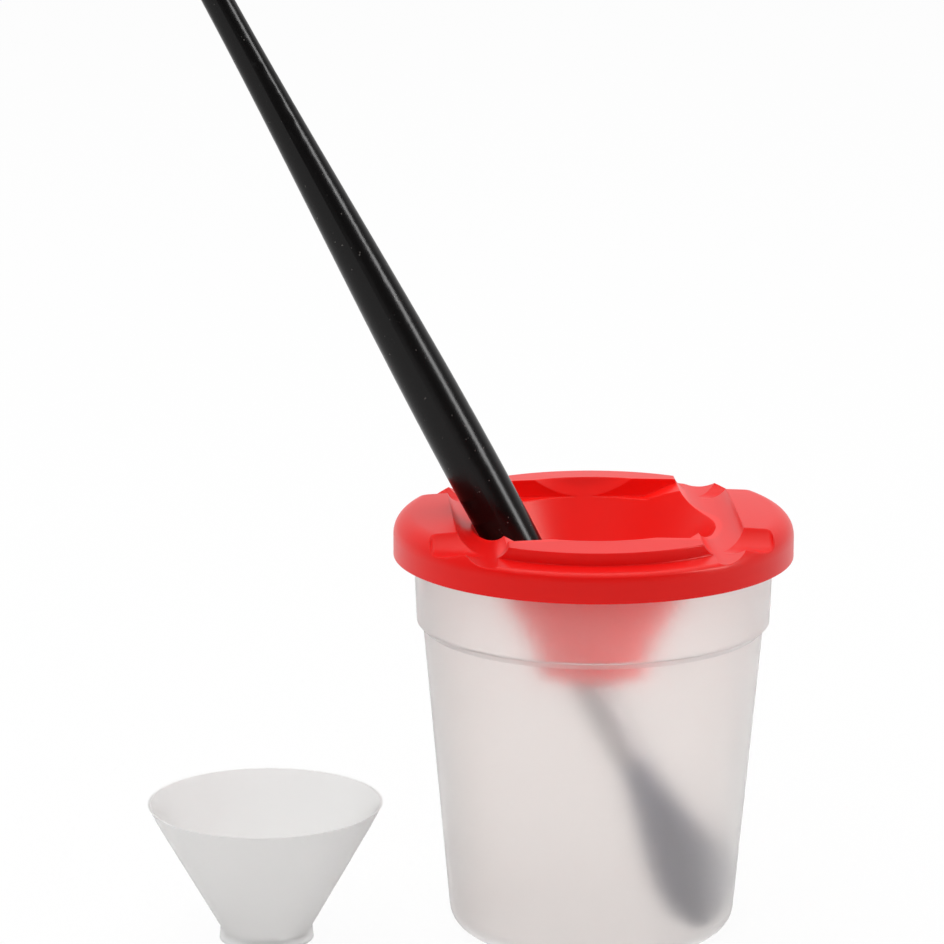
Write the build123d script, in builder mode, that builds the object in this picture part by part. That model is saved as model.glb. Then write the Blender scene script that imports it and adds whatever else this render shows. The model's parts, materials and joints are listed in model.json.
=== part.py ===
from build123d import *
import math
import os

# Non-spill paint pot: a frosted cup, a red snap-fit lid moulded in one piece with its funnel,
# a brush that stands in the funnel, and the loose conical stopper that closes the funnel.
# Origin: centre of the cup's base on the table, +Z up. The lid's brush rests run along Y.

# Cup
cup_base_radius = 28.4
cup_step_height = 63.1
cup_step_radius = 34.1
cup_band_foot_radius = 35.4
cup_band_top_radius = 36.0
cup_band_foot_rise = 1.3
cup_wall = 1.5
cup_floor_thickness = 1.8
cup_corner_radius = 5.0
cup_bead_height = 1.6
cup_bead_overhang = 1.9
cup_rim_rounding = 0.5

# Lid
lid_radius = 40.0
lid_skirt_bottom = 77.8
lid_skirt_wall = 1.5
lid_panel_wall = 1.4
lid_plateau_rise = 9.1
lid_plateau_fall = 0.9
lid_edge_rounding = 4.3
ledge_radius = 34.2
ledge_rise = 6.1
ledge_end_rise = 5.9
ledge_end_radius = 38.8
ledge_edge_drop = 1.3

# Brush rests: two round-bottomed troughs across the lid, and four scooped notches open to them
trough_offset = 23.6
trough_radius = 5.0
trough_floor_rise = 5.45
notch_outer_reach = 33.8
notch_centre = 22.5
notch_radius = 8.0
notch_floor_rise = 5.4
notch_corner_radius = 1.0

# Funnel
funnel_mouth_radius = 24.4
funnel_half_angle = 29.5
funnel_wall = 1.4
neck_radius = 9.7
neck_length = 3.6
pocket_floor_half_width = 12.4
pocket_side_angle = 21.6
pocket_wall_lean = 1.0

# Fit between lid and cup
rim_gap = 0.3
snap_gap = 0.2
snap_ridge_rise = 0.5
snap_ridge_height = 1.0

# Stopper, standing on its collar beside the cup
stopper_x = -66.2
stopper_y = -4.6
stopper_wall = 1.0
stopper_height = 28.2
stopper_rim_gap = 0.7
stopper_collar_height = 2.6
stopper_collar_gap = 0.2
stopper_collar_draft = 0.25
stopper_lip = 0.35
stopper_lip_height = 0.9

# Brush, leaning over the funnel's mouth; distances along it start at the ferrule's top edge
brush_heading = 176.4
brush_offset = 2.1
brush_rest_gap = 0.4
ferrule_top_height = 54.0
handle_length = 155.0
handle_belly_radius = 5.45
handle_belly_distance = 36.0
handle_foot_radius = 3.95
handle_end_radius = 2.9
handle_end_rounding = 2.5
handle_taper_distance = 94.0
handle_taper_radius = 4.5
handle_tenon_length = 9.0
ferrule_length = 21.5
ferrule_wall = 0.3
ferrule_mouth_radius = 3.3
ferrule_fit = 0.05
ferrule_bead_radius = 0.28
ferrule_bead_places = (2.6, 5.6)

# Bristles, each a slim three-sided strand
bristle_count = 340
bristle_length = 41.0
bristle_root_depth = 5.0
bristle_backing = 1.5
bristle_root_share = 0.9
bristle_spread = 1.9
bristle_radius = 0.11
bristle_tip_share = 0.6
bristle_floor_gap = 2.7
bristle_wall_gap = 1.3
bristle_step = 0.2

GOLDEN_ANGLE = 137.50776

# Radii and heights that follow from the sizes above
funnel_slope = math.tan(math.radians(funnel_half_angle))
funnel_skin = funnel_wall / math.cos(math.radians(funnel_half_angle))
plateau_z = lid_skirt_bottom + lid_plateau_rise
trough_floor_z = lid_skirt_bottom + trough_floor_rise
trough_axis_z = trough_floor_z + trough_radius
underside_z = trough_floor_z - lid_panel_wall
neck_top_z = trough_floor_z - (funnel_mouth_radius - neck_radius) / funnel_slope
neck_bottom_z = neck_top_z - neck_length
lid_skirt_inner = lid_radius - lid_skirt_wall
cup_rim_z = underside_z - rim_gap
cup_bead_radius = cup_band_top_radius + cup_bead_overhang
cup_bead_foot_z = cup_rim_z - cup_bead_height
cup_band_foot_z = cup_step_height + cup_band_foot_rise
cup_slope = (cup_step_radius - cup_base_radius) / cup_step_height
mouth_top_radius = funnel_mouth_radius + (plateau_z - trough_floor_z) * funnel_slope
plateau_edge_z = plateau_z - lid_plateau_fall
above_z = plateau_z + 2
ledge_z = lid_skirt_bottom + ledge_rise
ledge_end_z = lid_skirt_bottom + ledge_end_rise
ledge_edge_z = ledge_end_z - ledge_edge_drop


def funnel_radius(z):
    """Inner radius of the funnel's cone at a height."""
    return funnel_mouth_radius + (z - trough_floor_z) * funnel_slope


def cup_inner_radius(z):
    """Inner radius of the cup below its step at a height."""
    return cup_base_radius + z * cup_slope - cup_wall


# Cup: one revolved wall with a rounded base corner, an outward step and a bead at its rim
cup_outline = [
    (0, 0),
    (cup_base_radius, 0),
    (cup_step_radius, cup_step_height),
    (cup_band_foot_radius, cup_band_foot_z),
    (cup_band_top_radius, cup_bead_foot_z),
    (cup_bead_radius, cup_bead_foot_z),
    (cup_bead_radius, cup_rim_z),
    (cup_band_top_radius - cup_wall, cup_rim_z),
    (cup_band_foot_radius - cup_wall, cup_band_foot_z),
    (cup_step_radius - cup_wall, cup_step_height),
    (cup_inner_radius(cup_floor_thickness), cup_floor_thickness),
    (0, cup_floor_thickness),
]
with BuildPart() as cup:
    with BuildSketch(Plane.XZ) as cup_profile:
        with BuildLine():
            Polyline(*cup_outline, close=True)
        make_face()
        outer_corner = cup_profile.vertices().sort_by_distance((cup_base_radius, 0))[0]
        fillet(outer_corner, cup_corner_radius)
        inner_corner = cup_profile.vertices().sort_by_distance(cup_outline[10])[0]
        fillet(inner_corner, cup_corner_radius - cup_wall)
        rim_corners = [
            cup_profile.vertices().sort_by_distance(cup_outline[place])[0] for place in (5, 6, 7)
        ]
        fillet(rim_corners, cup_rim_rounding)
    revolve(axis=Axis.Z)
cup.part.label = "cup"

# The lid's cutters: the ledge outside its front and back walls
with BuildPart() as ledge_cut:
    with BuildSketch(Plane.XZ):
        with BuildLine():
            slope = Line((ledge_radius, ledge_z), (ledge_end_radius, ledge_end_z))
            edge = TangentArc(slope @ 1, (lid_radius, ledge_edge_z), tangent=slope % 1)
            Polyline(
                edge @ 1,
                (lid_radius + 1, ledge_edge_z),
                (lid_radius + 1, above_z),
                (ledge_radius, above_z),
                slope @ 0,
            )
        make_face()
    revolve(axis=Axis.Z)
    with BuildSketch(Plane.XY.offset(lid_skirt_bottom)):
        Rectangle(2 * trough_offset, 3 * lid_radius)
    extrude(amount=above_z - lid_skirt_bottom, mode=Mode.INTERSECT)

# The two troughs, and the notches beside them
with BuildPart() as trough_cut:
    with BuildSketch(Plane.XZ):
        with Locations((trough_offset, trough_axis_z), (-trough_offset, trough_axis_z)):
            Circle(trough_radius)
    extrude(amount=lid_radius + 1, both=True)

with BuildPart() as notch_cut:
    with BuildSketch(Plane.YZ.offset(trough_offset)):
        with Locations((-notch_centre, lid_skirt_bottom + notch_floor_rise + notch_radius)):
            Circle(notch_radius)
    extrude(amount=notch_outer_reach - trough_offset)
    fillet(notch_cut.edges().filter_by(GeomType.CIRCLE).sort_by(Axis.X)[-1], notch_corner_radius)
    mirror(about=Plane.XZ)
    mirror(about=Plane.YZ)

# The pockets in the funnel's front and back, whose flat faces touch the cone at its middle
pocket_wall_reach = funnel_mouth_radius + (above_z - trough_floor_z) * math.tan(math.radians(pocket_wall_lean))
with BuildPart() as pocket_cut:
    with BuildSketch(Plane.XZ):
        with BuildLine():
            pocket_run = 1 / math.tan(math.radians(pocket_side_angle))
            pocket_above = pocket_floor_half_width + pocket_run * (above_z - trough_floor_z)
            Polyline(
                (-pocket_floor_half_width, trough_floor_z),
                (pocket_floor_half_width, trough_floor_z),
                (pocket_above, above_z),
                (-pocket_above, above_z),
                close=True,
            )
        make_face()
    extrude(amount=lid_radius, both=True)
    with BuildSketch(Plane.YZ):
        with BuildLine():
            Polyline(
                (-funnel_mouth_radius, trough_floor_z),
                (funnel_mouth_radius, trough_floor_z),
                (pocket_wall_reach, above_z),
                (-pocket_wall_reach, above_z),
                close=True,
            )
        make_face()
    extrude(amount=lid_radius, both=True, mode=Mode.INTERSECT)

# The hollows under the front and back walls and under the side pads
hollow_top_z = plateau_edge_z - lid_panel_wall
wall_hollow_reach = ledge_radius - lid_panel_wall
pad_hollow_reach = lid_radius - lid_edge_rounding
pad_hollow_start = trough_offset + trough_radius + lid_panel_wall
with BuildPart() as hollow_cut:
    with BuildSketch(Plane.XY.offset(underside_z)):
        Circle(wall_hollow_reach)
        Rectangle(2 * (trough_offset - trough_radius - lid_panel_wall), 3 * lid_radius, mode=Mode.INTERSECT)
        Rectangle(3 * lid_radius, 2 * (mouth_top_radius + lid_panel_wall), mode=Mode.SUBTRACT)
    with BuildSketch(Plane.XY.offset(underside_z)):
        Circle(pad_hollow_reach)
        Rectangle(3 * lid_radius, 2 * (notch_centre - notch_radius - lid_panel_wall), mode=Mode.INTERSECT)
        Rectangle(2 * pad_hollow_start, 3 * lid_radius, mode=Mode.SUBTRACT)
    extrude(amount=hollow_top_z - underside_z)

# Lid: skirt, top and funnel as one revolved wall, then the cuts
lid_outline = [
    (mouth_top_radius, plateau_z),
    (lid_radius, plateau_edge_z),
    (lid_radius, lid_skirt_bottom),
    (lid_skirt_inner, lid_skirt_bottom),
    (lid_skirt_inner, lid_skirt_bottom + snap_ridge_rise),
    (cup_bead_radius + snap_gap, lid_skirt_bottom + snap_ridge_rise + snap_ridge_height / 2),
    (lid_skirt_inner, lid_skirt_bottom + snap_ridge_rise + snap_ridge_height),
    (lid_skirt_inner, underside_z),
    (funnel_radius(underside_z) + funnel_skin, underside_z),
    (neck_radius + funnel_wall, neck_top_z - (funnel_skin - funnel_wall) / funnel_slope),
    (neck_radius + funnel_wall, neck_bottom_z),
    (neck_radius, neck_bottom_z),
    (neck_radius, neck_top_z),
]
with BuildPart() as lid:
    with BuildSketch(Plane.XZ) as lid_profile:
        with BuildLine():
            Polyline(*lid_outline, close=True)
        make_face()
        shoulder = lid_profile.vertices().sort_by_distance((lid_radius, plateau_edge_z))[0]
        fillet(shoulder, lid_edge_rounding)
    revolve(axis=Axis.Z)
    add(ledge_cut.part, mode=Mode.SUBTRACT)
    add(pocket_cut.part, mode=Mode.SUBTRACT)
    add(trough_cut.part, mode=Mode.SUBTRACT)
    add(notch_cut.part, mode=Mode.SUBTRACT)
    add(hollow_cut.part, mode=Mode.SUBTRACT)
lid.part.label = "lid"

# Stopper: a thin cone on a short closed collar that fits the funnel's neck
stopper_collar_radius = neck_radius - stopper_collar_gap
stopper_waist_radius = stopper_collar_radius - stopper_collar_draft
stopper_rim_radius = funnel_mouth_radius - stopper_rim_gap
stopper_skin = stopper_wall / math.cos(math.radians(funnel_half_angle))
stopper_run = (stopper_rim_radius - stopper_waist_radius) / (stopper_height - stopper_collar_height)
stopper_plane = Plane(origin=(stopper_x, stopper_y, 0), x_dir=(1, 0, 0), z_dir=(0, -1, 0))
with BuildPart() as stopper:
    with BuildSketch(stopper_plane):
        with BuildLine():
            Polyline(
                (0, 0),
                (stopper_collar_radius, 0),
                (stopper_waist_radius, stopper_collar_height),
                (stopper_rim_radius - stopper_run * stopper_lip_height, stopper_height - stopper_lip_height),
                (stopper_rim_radius + stopper_lip, stopper_height - stopper_lip_height),
                (stopper_rim_radius + stopper_lip, stopper_height),
                (stopper_rim_radius - stopper_skin, stopper_height),
                (stopper_waist_radius - stopper_skin, stopper_collar_height),
                (stopper_waist_radius - stopper_skin, stopper_wall),
                (0, stopper_wall),
                close=True,
            )
        make_face()
    revolve(axis=Axis((stopper_x, stopper_y, 0), (0, 0, 1)))
stopper.part.label = "stopper"

# The brush's axis: past the neck at brush_offset, and brush_rest_gap clear of the funnel's mouth
mouth_across = funnel_mouth_radius - brush_offset
mouth_up = trough_floor_z - neck_bottom_z
rest_distance = handle_belly_radius + brush_rest_gap
brush_lean = math.atan2(mouth_across, mouth_up) - math.asin(rest_distance / math.hypot(mouth_across, mouth_up))
heading = math.radians(brush_heading)
brush_axis = Vector(
    math.sin(brush_lean) * math.cos(heading), math.sin(brush_lean) * math.sin(heading), math.cos(brush_lean)
)
brush_side = Vector(-math.sin(heading), math.cos(heading), 0)
brush_across = brush_offset + (ferrule_top_height - neck_bottom_z) * math.tan(brush_lean)
brush_origin = Vector(
    brush_across * math.cos(heading), brush_across * math.sin(heading), ferrule_top_height
)
brush_plane = Plane(origin=brush_origin, x_dir=brush_side, z_dir=brush_side.cross(brush_axis))
brush_line = Axis(brush_origin, brush_axis)

# Handle: a long taper that swells to its belly and narrows again to the ferrule
ferrule_taper = (handle_foot_radius - ferrule_mouth_radius) / ferrule_length
tenon_radius = handle_foot_radius - ferrule_wall - ferrule_fit
with BuildPart() as brush_handle:
    with BuildSketch(brush_plane) as handle_profile:
        with BuildLine():
            body = Spline(
                (handle_foot_radius, 0),
                (handle_belly_radius, handle_belly_distance),
                (handle_taper_radius, handle_taper_distance),
                (handle_end_radius, handle_length),
            )
            Polyline(
                body @ 1,
                (0, handle_length),
                (0, -handle_tenon_length),
                (tenon_radius - ferrule_taper * handle_tenon_length, -handle_tenon_length),
                (tenon_radius, 0),
                body @ 0,
            )
        make_face()
        end_corner = handle_profile.vertices().sort_by_distance(
            brush_plane.from_local_coords((handle_end_radius, handle_length, 0))
        )[0]
        fillet(end_corner, handle_end_rounding)
    revolve(axis=brush_line)
brush_handle.part.label = "brush_handle"

# Ferrule: a thin tapered tube with two crimped beads round the handle's tenon
with BuildPart() as brush_ferrule:
    with BuildSketch(brush_plane):
        with BuildLine():
            Polyline(
                (handle_foot_radius - ferrule_wall, -ferrule_fit),
                (handle_foot_radius, -ferrule_fit),
                (ferrule_mouth_radius, -ferrule_length),
                (ferrule_mouth_radius - ferrule_wall, -ferrule_length),
                close=True,
            )
        make_face()
        bead_centres = [(handle_foot_radius - ferrule_taper * place, -place) for place in ferrule_bead_places]
        with Locations(*bead_centres):
            Circle(ferrule_bead_radius)
    revolve(axis=brush_line)
brush_ferrule.part.label = "brush_ferrule"


def inside_cup(point):
    """Whether a point is clear of the cup's floor, wall and rounded inner corner."""
    reach = math.hypot(point.X, point.Y)
    corner = cup_corner_radius - cup_wall
    corner_x = cup_inner_radius(cup_floor_thickness) - corner
    corner_z = cup_floor_thickness + corner
    in_corner = reach > corner_x and point.Z < corner_z
    if in_corner and math.hypot(reach - corner_x, point.Z - corner_z) > corner - bristle_wall_gap:
        return False
    clear_of_wall = reach < cup_inner_radius(point.Z) - bristle_wall_gap
    return clear_of_wall and point.Z > cup_floor_thickness + bristle_floor_gap


def strand(number):
    """One bristle, straight out of the backing to where the cup stops it."""
    share = math.sqrt((number + 0.5) / bristle_count)
    turn = math.radians(number * GOLDEN_ANGLE)
    root_reach = share * (backing_radius * bristle_root_share - bristle_radius)
    root = Vector(root_reach * math.cos(turn), root_reach * math.sin(turn), bristle_backing / 2)
    course = Vector(root.X * (bristle_spread - 1), root.Y * (bristle_spread - 1), bristle_length)
    steps = round(bristle_length / bristle_step)
    kept = steps
    while not inside_cup(bristle_plane.from_local_coords(root + course * (kept / steps))):
        kept -= 1
    tip = root + course * (kept / steps)
    root_face = Plane(root) * RegularPolygon(bristle_radius, 3)
    tip_face = Plane(tip) * RegularPolygon(bristle_radius * bristle_tip_share, 3)
    return Solid.make_loft([root_face.wire(), tip_face.wire()], True)


# Bristles: the strands and the slice of their glued root inside the ferrule, as one solid
backing_radius = ferrule_mouth_radius - ferrule_wall - ferrule_fit
bristle_plane = Plane(
    origin=brush_origin - brush_axis * (ferrule_length - bristle_root_depth), x_dir=brush_side, z_dir=-brush_axis
)
strands = [strand(number) for number in range(bristle_count)]
with BuildPart() as bristle_bundle:
    with BuildSketch():
        Circle(backing_radius)
    extrude(amount=bristle_backing)
    add(strands, clean=False)
with BuildPart() as brush_bristles:
    add(bristle_plane * bristle_bundle.part)
brush_bristles.part.label = "brush_bristles"

os.makedirs("parts", exist_ok=True)
for name, piece in (
    ("cup", cup),
    ("lid", lid),
    ("stopper", stopper),
    ("brush_handle", brush_handle),
    ("brush_ferrule", brush_ferrule),
    ("brush_bristles", brush_bristles),
):
    export_step(piece.part, f"parts/{name}.step")
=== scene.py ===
"""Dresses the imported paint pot: finishes for its mouldings, the brush's tuft, camera, light and stage."""
import json
import math

import bmesh
import bpy
from bpy.props import FloatProperty, FloatVectorProperty, IntProperty, PointerProperty
from mathutils import Matrix, Vector


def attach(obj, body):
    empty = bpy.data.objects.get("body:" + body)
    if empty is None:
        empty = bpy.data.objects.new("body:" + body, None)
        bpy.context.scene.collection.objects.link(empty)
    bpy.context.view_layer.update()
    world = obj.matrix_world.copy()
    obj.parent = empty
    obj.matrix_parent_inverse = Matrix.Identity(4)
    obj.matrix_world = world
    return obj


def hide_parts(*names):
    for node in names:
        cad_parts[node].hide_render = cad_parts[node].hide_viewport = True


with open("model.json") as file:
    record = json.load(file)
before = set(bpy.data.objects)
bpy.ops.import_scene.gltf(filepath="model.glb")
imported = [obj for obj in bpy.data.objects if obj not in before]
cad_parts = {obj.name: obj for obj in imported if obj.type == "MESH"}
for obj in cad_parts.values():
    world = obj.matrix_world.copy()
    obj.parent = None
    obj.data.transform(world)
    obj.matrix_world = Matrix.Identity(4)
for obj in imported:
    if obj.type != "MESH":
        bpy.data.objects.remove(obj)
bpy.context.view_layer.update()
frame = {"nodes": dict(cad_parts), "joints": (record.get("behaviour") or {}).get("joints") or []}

bl_info = {
    "name": "Paint Pot",
    "version": (1, 0, 0),
    "blender": (4, 5, 0),
    "location": "3D View > Sidebar > Paint Pot",
    "description": "Dresses a non-spill paint pot with its brush and stopper",
    "category": "Object",
}

NODES = frame["nodes"]

# The stopper's rim: the lip's height and width, how far it is drawn in, and the cone's slope
LIP_HEIGHT = 0.001
LIP_WIDTH = 0.001
LIP_REACH = 0.0005
CONE_SLOPE = 0.56
MERGE_DISTANCE = 0.000001

# The lid's funnel and pockets, which reach less far from the axis than the rest of the lid's top, and where
# a painted light makes the red brighter
PAINTED_LIGHT_REACH = 0.0248
PAINTED_LIGHT_EDGE = 0.0262
POCKET_NARROWING = 1.22

# The tuft's roots and strands, and the shifts that give each of a strand's random draws its own number
GOLDEN_ANGLE = math.radians(137.50776)
ROOT_RADIUS = 0.0027
STRAND_POINTS = 12
STRAND_SIDES = 4
SHORTEST_STRAND = 0.93
TIP_TAPER = 0.5
TUFT_SEED = 7
DEPTH_SHIFT = 5000
LENGTH_SHIFT = 9000

# The inside of the cup, which the strands press against
CUP_FLOOR = 0.0023
CUP_FLOOR_REACH = 0.0264
CUP_WALL_SLOPE = 0.0903
CUP_CORNER_HEIGHT = 0.0045
CUP_CORNER_REACH = 0.003

# The room's light from its white and its dark side, and how white the floor looks to the camera
WHITE_SIDE = 0.75
DARK_SIDE = 0.04
FLOOR_WHITE = 0.94


def colour(default, name, description):
    """A colour, given as linear red, green and blue."""
    return FloatVectorProperty(
        name=name, description=description, subtype="COLOR", size=3, min=0, max=1, default=default
    )


def length(default, name, description):
    """A length in metres."""
    return FloatProperty(name=name, description=description, unit="LENGTH", min=0, default=default)


def share(default, name, description):
    """A number from 0 to 1."""
    return FloatProperty(
        name=name, description=description, subtype="FACTOR", min=0, max=1, default=default
    )


class PotFinishes(bpy.types.PropertyGroup):
    """Colours and gloss of the moulded pieces."""

    lid_red: colour((0.8, 0.006, 0.005), "Lid red", "Colour of the lid's plastic")
    # painted light: a brighter red stands in for the light inside the funnel and its pockets
    funnel_painted_light: colour((0.96, 0.011, 0.008), "Funnel red", "Colour of the funnel's brighter wall")
    lid_gloss: share(0.33, "Lid roughness", "Roughness of the lid's plastic")
    lid_edge: length(0.0004, "Lid edge", "Rounding that the lid's edges show")
    lid_glow: share(0.35, "Lid glow", "Share of light that scatters inside the lid's plastic")
    cup_tint: colour((0.968, 0.936, 0.921), "Cup tint", "Tint that light takes on in the cup's wall")
    cup_clear: share(0.88, "Cup clearness", "Share of light that passes each face of the cup")
    cup_frost: share(0.36, "Cup frost", "Roughness of the cup's frosted faces")
    stopper_tint: colour((0.925, 0.92, 0.913), "Stopper tint", "Tint of the stopper's thin wall")
    stopper_rim: length(0.00045, "Stopper rim", "Thickness of the stopper's wall at its rim")
    stopper_clear: share(0.6, "Stopper clearness", "Share of light that passes each face of the stopper")


class BrushSizes(bpy.types.PropertyGroup):
    """Sizes of the brush's tuft, and its finishes."""

    strands: IntProperty(name="Strands", description="Bristles in the tuft", min=50, default=1100)
    strand_radius: length(0.00011, "Strand radius", "Radius of one bristle at its root")
    tuft_length: length(0.052, "Tuft length", "From the strands' roots inside the ferrule to their tips")
    tuft_depth: length(0.005, "Root depth", "How deep in the ferrule the strands' roots lie")
    tuft_spread: FloatProperty(
        name="Tuft spread", description="How much wider the tuft is at its tips", min=1, default=2.8
    )
    tuft_bend: length(0.0004, "Tuft bend", "How far the tips hang below the brush's line")
    tuft_stray: length(0.0016, "Stray", "How far a strand's tip strays from its neighbours")
    tuft_fan: FloatProperty(
        name="Fan", description="How much deeper than wide the tuft is at its tips", min=1, default=1.7
    )
    lacquer: colour((0.005, 0.0045, 0.0045), "Lacquer", "Colour of the handle's lacquer")
    bristle: colour((0.05, 0.068, 0.135), "Bristle", "Colour of the bristles")


class StageSettings(bpy.types.PropertyGroup):
    """Where the camera stands, and how large the floor is."""

    camera_place: FloatVectorProperty(
        name="Camera place", description="Where the camera stands", subtype="TRANSLATION", size=3,
        default=(-0.08266, -0.92724, 0.3191),
    )
    camera_pitch: FloatProperty(
        name="Camera pitch", description="How far the camera looks down", subtype="ANGLE", default=0.237
    )
    camera_turn: FloatProperty(
        name="Camera turn", description="Turn of the camera to the right", subtype="ANGLE",
        default=math.radians(3.6),
    )
    camera_lens: FloatProperty(
        name="Lens", description="Focal length in millimetres", min=1, default=183.2
    )
    floor_size: length(6.0, "Floor size", "Side of the square floor")


class Value:
    """A number inside a node tree, so that its maths is written as an expression."""

    def __init__(self, tree, socket):
        self.tree = tree
        self.socket = socket

    def maths(self, operation, *others):
        numbers = dict(enumerate((self, *others)))
        node = self.tree.node("ShaderNodeMath", {"operation": operation}, numbers)
        return Value(self.tree, node.outputs[0])

    def __add__(self, other):
        return self.maths("ADD", other)

    def __sub__(self, other):
        return self.maths("SUBTRACT", other)

    def __rsub__(self, other):
        return (self * -1) + other

    def __mul__(self, other):
        return self.maths("MULTIPLY", other)

    def __truediv__(self, other):
        return self.maths("DIVIDE", other)

    def __pow__(self, other):
        return self.maths("POWER", other)

    def least(self, other):
        return self.maths("MINIMUM", other)

    def most(self, other):
        return self.maths("MAXIMUM", other)

    def between(self, low, high):
        """0 below low, 1 above high, and a smooth step from one to the other."""
        node = self.tree.node(
            "ShaderNodeMapRange", {"interpolation_type": "SMOOTHSTEP"},
            {"Value": self, "From Min": low, "From Max": high},
        )
        return Value(self.tree, node.outputs["Result"])


class Tree:
    """Adds nodes to a node tree: their settings first, then the values or links of their sockets."""

    def __init__(self, nodes, links):
        self.nodes = nodes
        self.links = links

    def node(self, kind, settings=None, sockets=None):
        made = self.nodes.new(kind)
        for name, setting in (settings or {}).items():
            setattr(made, name, setting)
        for name, value in (sockets or {}).items():
            self.feed(made.inputs[name], value)
        return made

    def feed(self, socket, value):
        if isinstance(value, Value):
            self.links.new(value.socket, socket)
        elif isinstance(value, bpy.types.NodeSocket):
            self.links.new(value, socket)
        else:
            socket.default_value = value

    def value(self, kind, output, settings=None, sockets=None):
        return Value(self, self.node(kind, settings, sockets).outputs[output])

    def parts(self, vector):
        """The x, y and z of a vector."""
        made = self.node("ShaderNodeSeparateXYZ", sockets={0: vector})
        return [Value(self, out) for out in made.outputs]


class Finish(Tree):
    """A material on a Principled shader, with the patterns that the pot's finishes share."""

    def __init__(self, name):
        self.material = bpy.data.materials.new(name)
        self.material.use_nodes = True
        tree = self.material.node_tree
        tree.nodes.clear()
        super().__init__(tree.nodes, tree.links)
        self.shader = self.node("ShaderNodeBsdfPrincipled")
        self.output = self.node("ShaderNodeOutputMaterial", sockets={"Surface": self.shader.outputs[0]})
        self.place = self.node("ShaderNodeTexCoord").outputs["Object"]

    def set(self, **sockets):
        """Sets sockets of the shader, named with underscores for spaces."""
        for name, value in sockets.items():
            self.feed(self.shader.inputs[name.replace("_", " ")], value)

    def noise(self, size, detail):
        """Noise whose features are about size metres wide."""
        place = self.node(
            "ShaderNodeMapping", sockets={"Vector": self.place, "Scale": [1 / size] * 3}
        ).outputs[0]
        return self.value(
            "ShaderNodeTexNoise", "Fac", {"noise_dimensions": "3D"},
            {"Vector": place, "Scale": 1.0, "Detail": detail},
        )

    def blend(self, factor, low, high):
        """A colour between two colours."""
        node = self.node("ShaderNodeMix", {"data_type": "RGBA"})
        self.feed(node.inputs[0], factor)
        self.feed(node.inputs[6], self.rgba(low))
        self.feed(node.inputs[7], self.rgba(high))
        return node.outputs[2]

    def rgba(self, value):
        return value if isinstance(value, bpy.types.NodeSocket) else (*tuple(value)[:3], 1.0)

    def bump(self, height, distance, strength, edge=0.0):
        """Feeds a height, in shares of a distance in metres, to the normal, over rounded edges."""
        node = self.node(
            "ShaderNodeBump", sockets={"Height": height, "Distance": distance, "Strength": strength}
        )
        if edge:
            rounded = self.node("ShaderNodeBevel", {"samples": 8}, {"Radius": edge})
            self.feed(node.inputs["Normal"], rounded.outputs[0])
        self.feed(self.shader.inputs["Normal"], node.outputs[0])


def shade(colour_value, factor):
    """A colour made lighter or darker."""
    return tuple(min(1.0, part * factor) for part in colour_value)


def dress(node_name, material):
    """Gives a carried-over piece its finish."""
    faces = NODES[node_name].data
    faces.materials.clear()
    faces.materials.append(material)


def red_plastic(finishes):
    """Semi-gloss red polypropylene with a faint moulding grain, and painted light that makes it brighter in
    the funnel and its pockets.
    """
    finish = Finish("red_plastic")
    cloud = finish.noise(0.02, 3)
    grain = finish.noise(0.0006, 2)
    base = finish.blend(cloud, shade(finishes.lid_red, 0.95), shade(finishes.lid_red, 1.05))
    x, y, _ = finish.parts(finish.place)
    # painted light: inside the funnel and its pockets the red is made brighter
    box = (x.maths("ABSOLUTE") * POCKET_NARROWING).most(y.maths("ABSOLUTE"))
    outside_painted_light = ((x * x + y * y) ** 0.5).least(box).between(PAINTED_LIGHT_REACH, PAINTED_LIGHT_EDGE)
    base = finish.blend(outside_painted_light, finishes.funnel_painted_light, base)
    finish.set(
        Base_Color=base, Roughness=cloud * 0.08 + (finishes.lid_gloss - 0.04), IOR=1.42,
        Specular_IOR_Level=0.3, Specular_Tint=(1.0, 0.88, 0.8, 1.0), Subsurface_Weight=finishes.lid_glow,
        Subsurface_Scale=0.003, Subsurface_Radius=(1.0, 0.1, 0.08),
    )
    finish.bump(grain, 0.00002, 0.5, finishes.lid_edge)
    return finish.material


def frosted_plastic(finishes):
    """Translucent polypropylene, with a painted sheen that whitens it where it turns away and a painted
    shade that darkens it towards its base.
    """
    finish = Finish("frosted_plastic")
    cloud = finish.noise(0.03, 2)
    grain = finish.noise(0.0005, 2)
    tint = finish.blend(cloud, shade(finishes.cup_tint, 0.985), finishes.cup_tint)
    # painted sheen: the colour turns whiter where the wall turns away from the camera
    facing = finish.value("ShaderNodeLayerWeight", "Facing", sockets={"Blend": 0.5})
    height = finish.parts(finish.place)[2]
    tint = finish.blend(facing.between(0.3, 0.9), tint, (1, 1, 0.99))
    # painted shade: the colour darkens towards the cup's base
    base = finish.blend(height.between(0.002, 0.032), shade(finishes.cup_tint, 0.94), tint)
    finish.set(
        Base_Color=base, Roughness=cloud * 0.04 + (finishes.cup_frost - 0.02),
        IOR=1.3, Transmission_Weight=finishes.cup_clear,
    )
    finish.bump(grain, 0.00002, 0.4)
    return finish.material


def milky_plastic(finishes):
    """The stopper's thinner, whiter polypropylene."""
    finish = Finish("milky_plastic")
    cloud = finish.noise(0.015, 2)
    grain = finish.noise(0.0005, 2)
    base = finish.blend(cloud, shade(finishes.stopper_tint, 0.985), finishes.stopper_tint)
    finish.set(
        Base_Color=base, Roughness=cloud * 0.05 + 0.4, IOR=1.3, Transmission_Weight=finishes.stopper_clear
    )
    finish.bump(grain, 0.00002, 0.4)
    return finish.material


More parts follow.
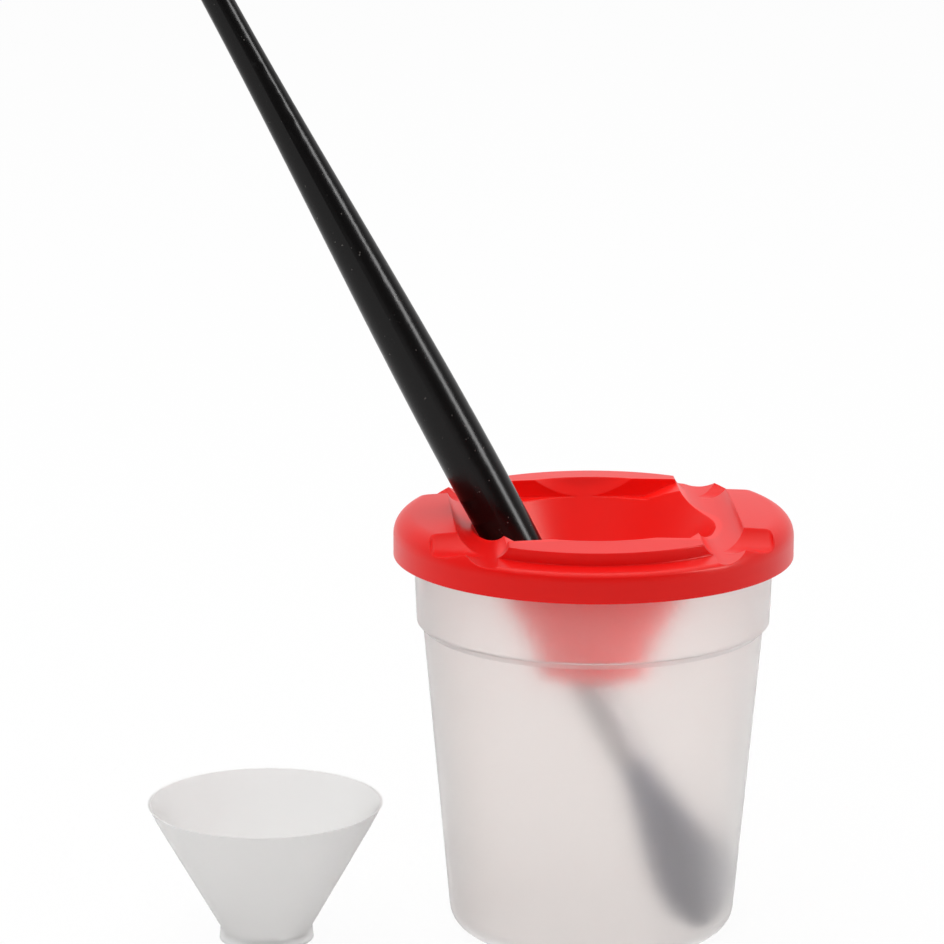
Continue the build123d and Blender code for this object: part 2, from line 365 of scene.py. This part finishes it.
def black_lacquer(sizes):
    """Glossy lacquer over wood, with dust specks and a faint long grain."""
    finish = Finish("black_lacquer")
    specks = finish.noise(0.0009, 1).between(0.74, 0.78)
    wave = finish.noise(0.012, 2)
    base = finish.blend(specks, sizes.lacquer, (0.09, 0.085, 0.08))
    finish.set(Base_Color=base, Roughness=wave * 0.06 + 0.2, IOR=1.4, Specular_IOR_Level=0.3)
    finish.bump(wave + specks * 0.05, 0.00012, 0.5)
    return finish.material


def ferrule_metal():
    """Drawn metal, dull enough to read as grey through the frosted wall."""
    finish = Finish("ferrule_metal")
    cloud = finish.noise(0.004, 3)
    base = finish.blend(cloud, (0.3, 0.29, 0.3), (0.4, 0.39, 0.4))
    finish.set(Base_Color=base, Metallic=1.0, Roughness=cloud * 0.12 + 0.28)
    finish.bump(finish.noise(0.0004, 2), 0.00001, 0.5)
    return finish.material


def dark_bristle(sizes):
    """Dark bristle, each strand a little lighter or darker than the next."""
    finish = Finish("dark_bristle")
    tone = Value(finish, finish.node(
        "ShaderNodeAttribute", {"attribute_type": "GEOMETRY", "attribute_name": "tone"}
    ).outputs["Fac"])
    base = finish.blend(tone, shade(sizes.bristle, 0.6), shade(sizes.bristle, 1.7))
    finish.set(Base_Color=base, Roughness=tone * 0.2 + 0.4)
    return finish.material


class POT_OT_cup(bpy.types.Operator):
    """Dress the frosted cup."""

    bl_idname = "pot.cup"
    bl_label = "Cup"

    def execute(self, context):
        dress("cup", frosted_plastic(context.scene.pot_finishes))
        return {"FINISHED"}


class POT_OT_lid(bpy.types.Operator):
    """Dress the red lid with its funnel."""

    bl_idname = "pot.lid"
    bl_label = "Lid"

    def execute(self, context):
        dress("lid", red_plastic(context.scene.pot_finishes))
        return {"FINISHED"}


class POT_OT_stopper(bpy.types.Operator):
    """Make the loose stopper from a copy of its solid, with a thinner rim."""

    bl_idname = "pot.stopper"
    bl_label = "Stopper"

    def execute(self, context):
        finishes = context.scene.pot_finishes
        body = bmesh.new()
        body.from_mesh(NODES["stopper"].data)
        body.transform(NODES["stopper"].matrix_world)
        bmesh.ops.remove_doubles(body, verts=body.verts, dist=MERGE_DISTANCE)
        self.thin_rim(body, finishes.stopper_rim)
        mesh = bpy.data.meshes.new("stopper_cone")
        body.to_mesh(mesh)
        body.free()
        mesh.shade_smooth()
        mesh.set_sharp_from_angle(angle=math.radians(30))
        mesh.materials.append(milky_plastic(finishes))
        cone = bpy.data.objects.new("stopper_cone", mesh)
        context.scene.collection.objects.link(cone)
        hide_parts("stopper")
        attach(cone, "stopper")
        return {"FINISHED"}

    def thin_rim(self, body, rim):
        """Draws the lip in, so that the wall thins to its rim."""
        places = [v.co for v in body.verts]
        middle = (Vector(map(min, *places)) + Vector(map(max, *places))) / 2
        top = max(place.z for place in places)
        reach = max(place.x for place in places) - middle.x
        for vertex in body.verts:
            across = (vertex.co - middle).xy
            if top - vertex.co.z > LIP_HEIGHT or across.length < reach / 2:
                continue
            outer = across.length > reach - LIP_WIDTH
            radius = reach - LIP_REACH - (top - vertex.co.z) * CONE_SLOPE - (0 if outer else rim)
            vertex.co.xy = middle.xy + across.normalized() * radius


class POT_OT_handle(bpy.types.Operator):
    """Dress the brush's handle and ferrule."""

    bl_idname = "pot.handle"
    bl_label = "Brush handle"

    def execute(self, context):
        dress("brush_handle", black_lacquer(context.scene.brush_sizes))
        dress("brush_ferrule", ferrule_metal())
        return {"FINISHED"}


def brush_line():
    """The middle of the ferrule's mouth, and the way up the brush's axis."""
    draw = next(joint for joint in frame["joints"] if joint["name"] == "brush_draw")
    up = Vector(draw["axis"]).normalized()
    ferrule = NODES["brush_ferrule"]
    places = [ferrule.matrix_world @ vertex.co for vertex in ferrule.data.vertices]
    middle = (Vector(map(min, *places)) + Vector(map(max, *places))) / 2
    mouth = min((place - middle).dot(up) for place in places)
    return middle + up * mouth, up


class TuftTree(Tree):
    """A Geometry Nodes tree of strands that spread, sag and press against the cup's floor and wall."""

    INPUTS = (
        ("Strands", "Int"), ("Strand radius", "Float"), ("Root radius", "Float"), ("Length", "Float"),
        ("Spread", "Float"), ("Fan", "Float"), ("Sag", "Float"), ("Stray", "Float"), ("Root", "Vector"),
        ("Turn", "Vector"), ("Floor", "Float"), ("Floor reach", "Float"), ("Wall slope", "Float"),
        ("Seed", "Int"),
    )

    def __init__(self, material):
        self.group = bpy.data.node_groups.new("brush_tuft", "GeometryNodeTree")
        super().__init__(self.group.nodes, self.group.links)
        face = self.group.interface
        face.new_socket("Geometry", in_out="OUTPUT", socket_type="NodeSocketGeometry")
        self.sockets = {
            name: face.new_socket(name, in_out="INPUT", socket_type="NodeSocket" + kind).identifier
            for name, kind in self.INPUTS
        }
        self.ins = self.node("NodeGroupInput").outputs
        strands = self.inside_cup(self.bent(self.straight()))
        self.node("NodeGroupOutput", sockets={0: self.tubes(strands, material)})

    def given(self, name):
        """One of the tree's inputs."""
        return Value(self, self.ins[name])

    def first(self, kind, settings=None, sockets=None):
        """The first output of a new node."""
        return self.node(kind, settings, sockets).outputs[0]

    def xyz(self, x, y, z):
        return self.first("ShaderNodeCombineXYZ", sockets={0: x, 1: y, 2: z})

    def keep(self, geometry, name, value, kind):
        """Stores a value on each point under a name."""
        return self.first(
            "GeometryNodeStoreNamedAttribute", {"data_type": kind, "domain": "POINT"},
            {"Geometry": geometry, "Name": name, "Value": value},
        )

    def kept(self, name, kind):
        """Reads a value that was stored under a name."""
        return self.first("GeometryNodeInputNamedAttribute", {"data_type": kind}, {"Name": name})

    def at_random(self, low, high, number):
        """A random value for each strand."""
        made = self.node(
            "FunctionNodeRandomValue", {"data_type": "FLOAT"},
            {2: low, 3: high, "ID": number, "Seed": self.ins["Seed"]},
        )
        return Value(self, made.outputs[1])

    def moved(self, strands, place):
        """The strands with their points at a place."""
        return self.first("GeometryNodeSetPosition", sockets={"Geometry": strands, "Position": place})

    def straight(self):
        """One straight line for each strand, set out as a sunflower's seeds are."""
        number = Value(self, self.first("GeometryNodeInputIndex"))
        out = ((number + 0.5) / self.given("Strands")) ** 0.5
        turn = number * GOLDEN_ANGLE
        side = self.xyz(out * turn.maths("COSINE"), out * turn.maths("SINE"), 0.0)
        roots = self.first("GeometryNodePoints", sockets={"Count": self.ins["Strands"], "Position": side})
        roots = self.keep(roots, "side", side, "FLOAT_VECTOR")
        roots = self.keep(roots, "number", number, "FLOAT")
        line = self.first("GeometryNodeCurvePrimitiveLine", sockets={"End": (0, 0, 1)})
        line = self.first("GeometryNodeResampleCurve", sockets={"Curve": line, "Count": STRAND_POINTS})
        strands = self.first("GeometryNodeInstanceOnPoints", sockets={"Points": roots, "Instance": line})
        return self.first("GeometryNodeRealizeInstances", sockets={"Geometry": strands})

    def bent(self, strands):
        """Spreads, fans and sags the strands along their length, and turns them onto the brush's line."""
        number = Value(self, self.kept("number", "FLOAT"))
        side_x, side_y, _ = self.parts(self.kept("side", "FLOAT_VECTOR"))
        along = self.parts(self.first("GeometryNodeInputPosition"))[2]
        swell = ((self.given("Spread") - 1) * along.between(0.08, 0.7) + 1) * self.given("Root radius")
        fan = (self.given("Fan") - 1) * along.between(0.3, 1.0) + 1
        stray = along * along * self.given("Stray")
        sag = along * along * self.given("Sag")
        x = side_x * swell + stray * self.at_random(-1.0, 1.0, number) + sag
        y = side_y * swell * fan + stray * self.at_random(-1.0, 1.0, number + DEPTH_SHIFT)
        tall = self.at_random(SHORTEST_STRAND, 1.0, number + LENGTH_SHIFT)
        z = along * self.given("Length") * tall
        return self.first("GeometryNodeTransform", sockets={
            "Geometry": self.moved(strands, self.xyz(x, y, z)),
            "Translation": self.ins["Root"], "Rotation": self.ins["Turn"],
        })

    def inside_cup(self, strands):
        """Presses what would pass the cup's floor, rounded corner or wall flat against it."""
        x, y, z = self.parts(self.first("GeometryNodeInputPosition"))
        z = z.most(self.given("Floor"))
        corner = (self.given("Floor") + CUP_CORNER_HEIGHT - z).most(0.0) / CUP_CORNER_HEIGHT
        reach = self.given("Floor reach") + z * self.given("Wall slope")
        pull = ((reach - corner * corner * CUP_CORNER_REACH) / (x * x + y * y) ** 0.5).least(1.0)
        return self.moved(strands, self.xyz(x * pull, y * pull, z))

    def tubes(self, strands, material):
        """Gives each strand a body that thins to its tip, and a tone of its own."""
        along = Value(self, self.node("GeometryNodeSplineParameter").outputs["Factor"])
        ring = self.first(
            "GeometryNodeCurvePrimitiveCircle", sockets={"Resolution": STRAND_SIDES, "Radius": 1.0}
        )
        mesh = self.first("GeometryNodeCurveToMesh", sockets={
            "Curve": strands, "Profile Curve": ring, "Fill Caps": True,
            "Scale": self.given("Strand radius") * (1 - along * TIP_TAPER),
        })
        tone = self.at_random(0.0, 1.0, Value(self, self.kept("number", "FLOAT")))
        mesh = self.keep(mesh, "tone", tone, "FLOAT")
        mesh = self.first("GeometryNodeRealizeInstances", sockets={"Geometry": mesh})
        return self.first("GeometryNodeSetMaterial", sockets={"Geometry": mesh, "Material": material})


class POT_OT_tuft(bpy.types.Operator):
    """Grow the brush's tuft out of the ferrule, spread against the cup's corner."""

    bl_idname = "pot.tuft"
    bl_label = "Brush tuft"

    def execute(self, context):
        sizes = context.scene.brush_sizes
        tree = TuftTree(dark_bristle(sizes))
        mouth, up = brush_line()
        below = up.cross(Vector((0, 1, 0))).normalized()
        turn = Matrix((below, below.cross(up), -up)).transposed().to_euler()
        base = bpy.data.objects.new("brush_tuft_base", bpy.data.meshes.new("brush_tuft_base"))
        context.scene.collection.objects.link(base)
        growth = base.modifiers.new("growth", "NODES")
        growth.node_group = tree.group
        for name, value in (
            ("Strands", sizes.strands), ("Strand radius", sizes.strand_radius),
            ("Root radius", ROOT_RADIUS), ("Length", sizes.tuft_length), ("Spread", sizes.tuft_spread),
            ("Fan", sizes.tuft_fan), ("Sag", sizes.tuft_bend), ("Stray", sizes.tuft_stray),
            ("Root", (mouth + up * sizes.tuft_depth)[:]), ("Turn", turn[:]), ("Floor", CUP_FLOOR),
            ("Floor reach", CUP_FLOOR_REACH), ("Wall slope", CUP_WALL_SLOPE), ("Seed", TUFT_SEED),
        ):
            growth[tree.sockets[name]] = value
        tuft = settled(base, "brush_tuft")
        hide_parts("brush_bristles")
        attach(tuft, "brush")
        return {"FINISHED"}


def settled(base, name):
    """A plain mesh of its own from a generated object, which is removed."""
    graph = bpy.context.evaluated_depsgraph_get()
    mesh = bpy.data.meshes.new_from_object(base.evaluated_get(graph), depsgraph=graph)
    mesh.name = name
    base.modifiers.clear()
    bpy.data.objects.remove(base)
    made = bpy.data.objects.new(name, mesh)
    bpy.context.scene.collection.objects.link(made)
    return made


def lamp(name, place, aim, size, radiance, in_gloss=True, in_diffuse=True):
    """An area lamp of one size each way, facing a point, with a radiance where 1 is white."""
    data = bpy.data.lights.new(name, "AREA")
    data.shape = "RECTANGLE"
    data.size, data.size_y = size
    data.energy = radiance * math.pi * size[0] * size[1]
    made = bpy.data.objects.new(name, data)
    made.location = place
    made.rotation_euler = (Vector(aim) - Vector(place)).to_track_quat("-Z", "Y").to_euler()
    made.visible_camera = False
    made.visible_glossy = in_gloss
    made.visible_diffuse = in_diffuse
    bpy.context.scene.collection.objects.link(made)


class POT_OT_stage(bpy.types.Operator):
    """Set the camera, the lamps, the white room and the pale floor."""

    bl_idname = "pot.stage"
    bl_label = "Stage"

    def execute(self, context):
        stage = context.scene.stage_settings
        self.camera(stage)
        self.lamps()
        self.room(context.scene)
        self.floor(stage)
        context.scene.view_settings.view_transform = "Standard"
        return {"FINISHED"}

    def camera(self, stage):
        data = bpy.data.cameras.new("camera")
        data.lens = stage.camera_lens
        data.clip_start = 0.05
        camera = bpy.data.objects.new("camera", data)
        camera.location = stage.camera_place
        camera.rotation_euler = (math.pi / 2 - stage.camera_pitch, 0, -stage.camera_turn)
        bpy.context.scene.collection.objects.link(camera)
        bpy.context.scene.camera = camera

    def lamps(self):
        middle = (0, 0, 0.08)
        lamp("top_softbox", (0.0, 0.25, 1.2), middle, (1.2, 1.2), 1.3)
        lamp("right_strip", (1.05, -0.35, 0.6), (0, 0, 0.12), (0.3, 0.9), 15.0, in_diffuse=False)
        lamp("front_fill", (-0.3, -1.15, 1.35), middle, (1.0, 1.0), 2.4, in_gloss=False)
        lamp("left_fill", (-1.5, -0.1, 0.6), middle, (1.0, 1.0), 1.2, in_gloss=False)
        lamp("right_fill", (1.5, -0.1, 0.6), middle, (1.0, 1.0), 1.2, in_gloss=False)

    def room(self, scene):
        """White behind and above, dark on the camera's side, and white straight through the cup."""
        world = bpy.data.worlds.new("room")
        world.use_nodes = True
        tree = world.node_tree
        tree.nodes.clear()
        room = Tree(tree.nodes, tree.links)
        _, away, up = room.parts(room.node("ShaderNodeTexCoord").outputs["Generated"])
        level = away.between(-0.1, 0.6).most(up.between(0.35, 0.9)) * WHITE_SIDE + DARK_SIDE
        light = room.node("ShaderNodeBackground", sockets={"Color": (1, 1, 1, 1), "Strength": level})
        white = room.node("ShaderNodeBackground", sockets={"Color": (1, 1, 1, 1), "Strength": 1.0})
        rays = room.node("ShaderNodeLightPath")
        passed = Value(room, rays.outputs["Is Transmission Ray"])
        seen = Value(room, rays.outputs["Is Camera Ray"]).most(passed)
        mix = room.node("ShaderNodeMixShader", sockets={0: seen, 1: light.outputs[0], 2: white.outputs[0]})
        room.node("ShaderNodeOutputWorld", sockets={"Surface": mix.outputs[0]})
        scene.world = world

    def floor(self, stage):
        half = stage.floor_size / 2
        mesh = bpy.data.meshes.new("floor")
        corners = [(-half, -half, 0), (half, -half, 0), (half, half, 0), (-half, half, 0)]
        mesh.from_pydata(corners, [], [(0, 1, 2, 3)])
        floor = bpy.data.objects.new("floor", mesh)
        bpy.context.scene.collection.objects.link(floor)
        finish = Finish("floor")
        finish.set(Base_Color=(0.85, 0.85, 0.85, 1), Roughness=0.9, Specular_IOR_Level=0.0)
        glow = finish.node("ShaderNodeEmission", sockets={"Color": (1, 1, 1, 1), "Strength": 1.0})
        rays = finish.node("ShaderNodeLightPath")
        seen = Value(finish, rays.outputs["Is Camera Ray"])
        for kind in ("Is Glossy Ray", "Is Transmission Ray"):
            seen = seen.most(Value(finish, rays.outputs[kind]))
        mix = finish.node("ShaderNodeMixShader", sockets={
            0: seen * FLOOR_WHITE, 1: finish.shader.outputs[0], 2: glow.outputs[0]
        })
        finish.feed(finish.output.inputs["Surface"], mix.outputs[0])
        mesh.materials.append(finish.material)


class POT_PT_panel(bpy.types.Panel):
    """The pot's sizes, finishes and steps."""

    bl_idname = "POT_PT_panel"
    bl_label = "Paint Pot"
    bl_space_type = "VIEW_3D"
    bl_region_type = "UI"
    bl_category = "Paint Pot"

    def draw(self, context):
        scene = context.scene
        for group in (scene.pot_finishes, scene.brush_sizes, scene.stage_settings):
            box = self.layout.box()
            for name in group.bl_rna.properties.keys():
                if name not in ("rna_type", "name"):
                    box.prop(group, name)
        for operator in OPERATORS:
            self.layout.operator(operator.bl_idname)


GROUPS = {"pot_finishes": PotFinishes, "brush_sizes": BrushSizes, "stage_settings": StageSettings}
OPERATORS = (POT_OT_stage, POT_OT_cup, POT_OT_lid, POT_OT_stopper, POT_OT_handle, POT_OT_tuft)


def register():
    for group in GROUPS.values():
        bpy.utils.register_class(group)
    for name, group in GROUPS.items():
        setattr(bpy.types.Scene, name, PointerProperty(type=group))
    for operator in (*OPERATORS, POT_PT_panel):
        bpy.utils.register_class(operator)


def unregister():
    for operator in reversed((*OPERATORS, POT_PT_panel)):
        bpy.utils.unregister_class(operator)
    for name, group in GROUPS.items():
        delattr(bpy.types.Scene, name)
        bpy.utils.unregister_class(group)


def main():
    register()
    bpy.ops.pot.stage()
    bpy.ops.pot.cup()
    bpy.ops.pot.lid()
    bpy.ops.pot.stopper()
    bpy.ops.pot.handle()
    bpy.ops.pot.tuft()


if __name__ == "__main__":
    main()
